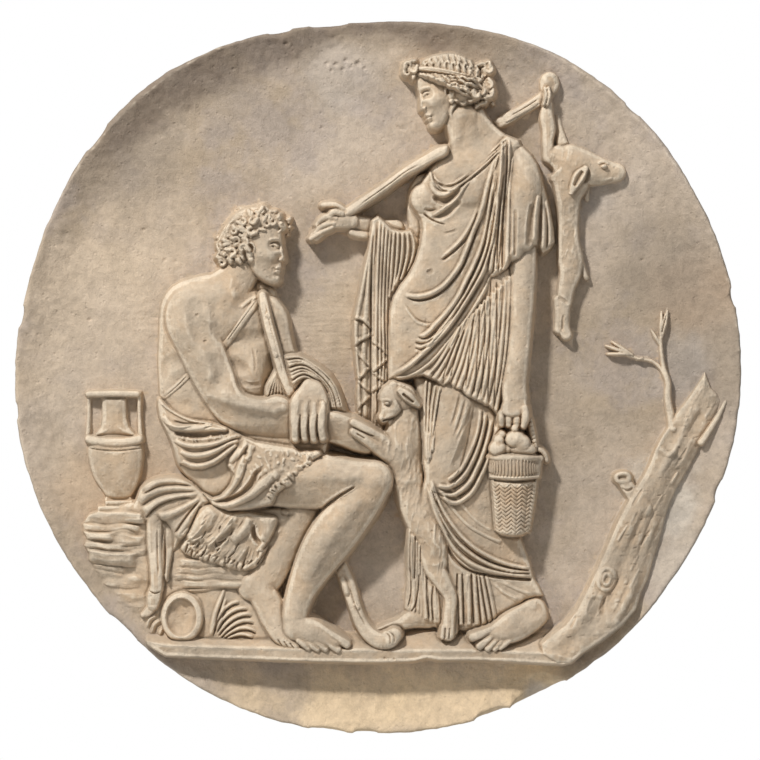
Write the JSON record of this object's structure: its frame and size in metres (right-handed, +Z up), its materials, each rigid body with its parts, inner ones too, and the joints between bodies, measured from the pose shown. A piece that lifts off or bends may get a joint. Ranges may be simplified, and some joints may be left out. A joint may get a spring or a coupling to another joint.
{
  "type": "plaster relief medallion",
  "caption": "Round plaster relief plaque with a flat back, made to hang or be fixed on a wall, showing a seated shepherd and a standing shepherdess with a dog",
  "frame": {"origin": "centre of the flat back face, where the medallion meets the wall", "axes": "+Z up, +Y into the wall along the normal of the flat back, so the relief faces -Y, +X to the viewer's right"},
  "size_m": [0.7245, 0.0852, 0.7111],
  "materials": {
    "plaster": "aged cast plaster, matt, warm ivory with yellow-brown stains and dust in the hollows"
  },
  "bodies": {
    "root": {"relief_medallion": "plaster"}
  },
  "joints": []
}
